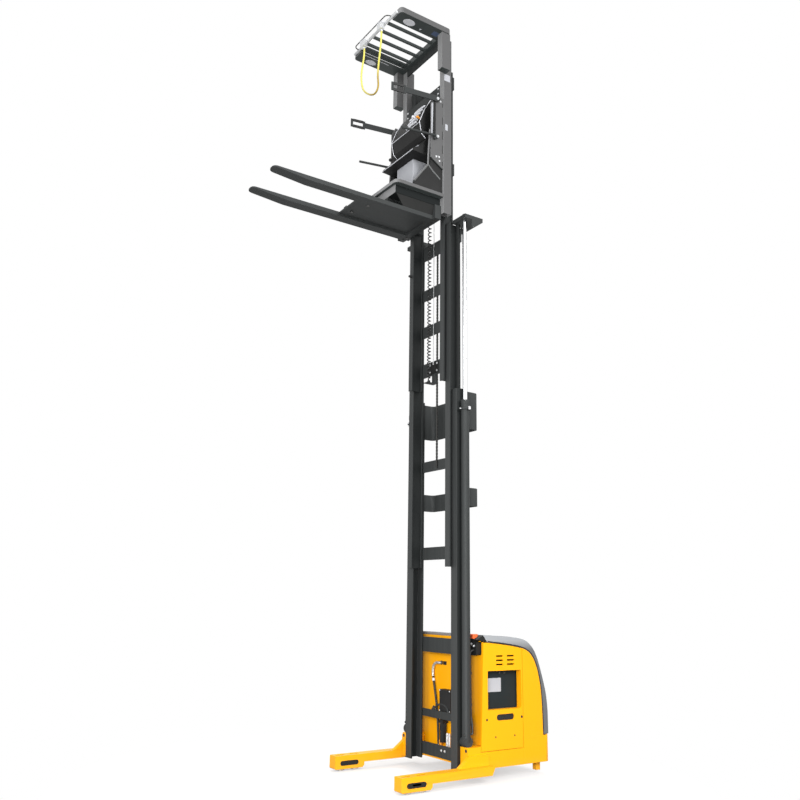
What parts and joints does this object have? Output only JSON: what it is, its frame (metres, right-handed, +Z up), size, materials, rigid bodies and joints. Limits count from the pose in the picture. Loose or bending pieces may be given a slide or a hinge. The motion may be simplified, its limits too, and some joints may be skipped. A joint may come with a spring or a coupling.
{
  "type": "order picker truck",
  "caption": "High-level order picker truck with a three-stage mast raised part way, a man-up platform with overhead guard, forks and support arms.",
  "frame": {"origin": "floor level, midway along the truck from fork tips to rear skirt and midway across", "axes": "+Z up, the forks point towards -X, +Y is the operator's left when facing the mast"},
  "size_m": [3.408, 1.372, 8.486],
  "materials": {
    "truck_yellow": "semi-gloss powder coat",
    "hood_grey": "satin moulded cover",
    "chassis_black": "satin black paint",
    "mast_charcoal": "satin charcoal paint",
    "cab_grey": "satin grey paint",
    "rod_chrome": "hard chrome",
    "steel_bright": "zinc plated",
    "steel_dark": "oiled steel",
    "wheel_rubber": "cast polyurethane tyre",
    "load_wheel_tyre": "pale cast polyurethane tyre",
    "battery_case": "dark coated battery tray",
    "console_grey": "textured moulded panels",
    "console_black": "textured black mouldings",
    "hose_rubber": "smooth rubber sheath",
    "lanyard_webbing": "woven webbing",
    "beacon_orange": "moulded orange plastic"
  },
  "bodies": {
    "chassis": {"support_arms": "truck_yellow", "load_axles": "chassis_black", "foot_gussets": "truck_yellow", "chassis_tray": "truck_yellow", "drive_motor": "chassis_black", "battery": "battery_case", "side_frames": "truck_yellow", "front_wall": "truck_yellow", "hood": "hood_grey", "hood_scoops": "chassis_black", "rear_skirt": "truck_yellow", "rear_feet": "truck_yellow", "outer_rails": "mast_charcoal", "outer_crossmembers": "mast_charcoal", "lift_barrels": "mast_charcoal", "valve_box": "console_black", "oil_filter": "console_black", "hydraulic_hose": "hose_rubber", "beacon": "beacon_orange", "beacon_bracket": "chassis_black"},
    "battery_door_left": {"battery_door_left": "truck_yellow"},
    "battery_door_right": {"battery_door_right": "truck_yellow"},
    "steering": {"drive_fork": "chassis_black"},
    "drive_wheel": {"drive_wheel": "wheel_rubber"},
    "middle_mast": {"middle_rails": "mast_charcoal", "middle_crossmembers": "mast_charcoal", "mast_head": "mast_charcoal", "lift_rods": "rod_chrome", "lift_chain": "steel_dark"},
    "inner_mast": {"inner_rails": "mast_charcoal", "inner_crossmembers": "mast_charcoal", "supply_cord": "hose_rubber"},
    "cab": {"carriage": "mast_charcoal", "cab_posts": "cab_grey", "cab_crossplates": "mast_charcoal", "side_plates": "cab_grey", "platform": "cab_grey", "forks": "mast_charcoal", "fork_frame": "mast_charcoal", "guard_frame": "cab_grey", "guard_slats": "cab_grey", "guard_hoop": "steel_dark", "lanyard_holders": "steel_bright", "lanyard": "lanyard_webbing", "console_column": "console_grey", "console_desk": "console_grey", "console_hood": "console_black", "side_linings": "console_black"},
    "load_wheel_left_front": {"load_wheel_left_front": "load_wheel_tyre"},
    "load_wheel_left_rear": {"load_wheel_left_rear": "load_wheel_tyre"},
    "load_wheel_right_front": {"load_wheel_right_front": "load_wheel_tyre"},
    "load_wheel_right_rear": {"load_wheel_right_rear": "load_wheel_tyre"},
    "gate_bar_left": {"gate_bar_left": "mast_charcoal"},
    "gate_rod_left": {"gate_rod_left": "mast_charcoal"},
    "gate_link_left": {"gate_link_left": "mast_charcoal"},
    "gate_bar_right": {"gate_bar_right": "mast_charcoal"},
    "gate_rod_right": {"gate_rod_right": "mast_charcoal"},
    "gate_link_right": {"gate_link_right": "mast_charcoal"}
  },
  "joints": [
    {"name": "mast_lift", "type": "slide", "parent": "chassis", "child": "middle_mast", "axis": [0, 0, 1], "range_m": [-1.99, 1]},
    {"name": "inner_lift", "type": "slide", "parent": "middle_mast", "child": "inner_mast", "axis": [0, 0, 1], "range_m": [-1.99, 1]},
    {"name": "cab_lift", "type": "slide", "parent": "inner_mast", "child": "cab", "axis": [0, 0, 1], "range_m": [-1.99, 1], "deforming": ["supply_cord"]},
    {"name": "steering", "type": "hinge", "parent": "chassis", "child": "steering", "pos_m": [1.456, 0, 0.155], "axis": [0, 0, 1], "range_deg": [-90, 90]},
    {"name": "drive_roll", "type": "hinge", "parent": "steering", "child": "drive_wheel", "pos_m": [1.456, 0, 0.155], "axis": [0, 1, 0], "continuous": true},
    {"name": "roll_left_front", "type": "hinge", "parent": "chassis", "child": "load_wheel_left_front", "pos_m": [-0.169, 0.619, 0.07], "axis": [0, 1, 0], "continuous": true},
    {"name": "roll_left_rear", "type": "hinge", "parent": "chassis", "child": "load_wheel_left_rear", "pos_m": [0.003, 0.619, 0.07], "axis": [0, 1, 0], "continuous": true},
    {"name": "door_left", "type": "hinge", "parent": "chassis", "child": "battery_door_left", "pos_m": [1.324, 0.58, 0.284], "axis": [0, 0, -1], "range_deg": [0, 100]},
    {"name": "roll_right_front", "type": "hinge", "parent": "chassis", "child": "load_wheel_right_front", "pos_m": [-0.169, -0.619, 0.07], "axis": [0, 1, 0], "continuous": true},
    {"name": "roll_right_rear", "type": "hinge", "parent": "chassis", "child": "load_wheel_right_rear", "pos_m": [0.003, -0.619, 0.07], "axis": [0, 1, 0], "continuous": true},
    {"name": "door_right", "type": "hinge", "parent": "chassis", "child": "battery_door_right", "pos_m": [1.324, -0.58, 0.284], "axis": [0, 0, 1], "range_deg": [0, 100]},
    {"name": "gate_left", "type": "hinge", "parent": "cab", "child": "gate_bar_left", "pos_m": [0.286, 0.4565, 7.535], "axis": [0, 1, 0], "range_deg": [0, 80]},
    {"name": "gate_rod_left", "type": "hinge", "parent": "cab", "child": "gate_rod_left", "pos_m": [0.286, 0.4565, 7.036], "axis": [0, 1, 0], "range_deg": [0, 80]},
    {"name": "gate_link_left", "type": "hinge", "parent": "gate_bar_left", "child": "gate_link_left", "pos_m": [0.252, 0.442, 7.507], "axis": [0, 1, 0], "range_deg": [-80, 0]},
    {"name": "gate_right", "type": "hinge", "parent": "cab", "child": "gate_bar_right", "pos_m": [0.286, -0.4565, 7.535], "axis": [0, 1, 0], "range_deg": [0, 80]},
    {"name": "gate_rod_right", "type": "hinge", "parent": "cab", "child": "gate_rod_right", "pos_m": [0.286, -0.4565, 7.036], "axis": [0, 1, 0], "range_deg": [0, 80]},
    {"name": "gate_link_right", "type": "hinge", "parent": "gate_bar_right", "child": "gate_link_right", "pos_m": [0.252, -0.442, 7.507], "axis": [0, 1, 0], "range_deg": [-80, 0]}
  ],
  "couplings": [
    {"joint": "inner_lift", "follows": "mast_lift", "ratio": 1},
    {"joint": "cab_lift", "follows": "mast_lift", "ratio": 1},
    {"joint": "gate_rod_left", "follows": "gate_left", "ratio": 1},
    {"joint": "gate_link_left", "follows": "gate_left", "ratio": -1},
    {"joint": "gate_rod_right", "follows": "gate_right", "ratio": 1},
    {"joint": "gate_link_right", "follows": "gate_right", "ratio": -1}
  ]
}
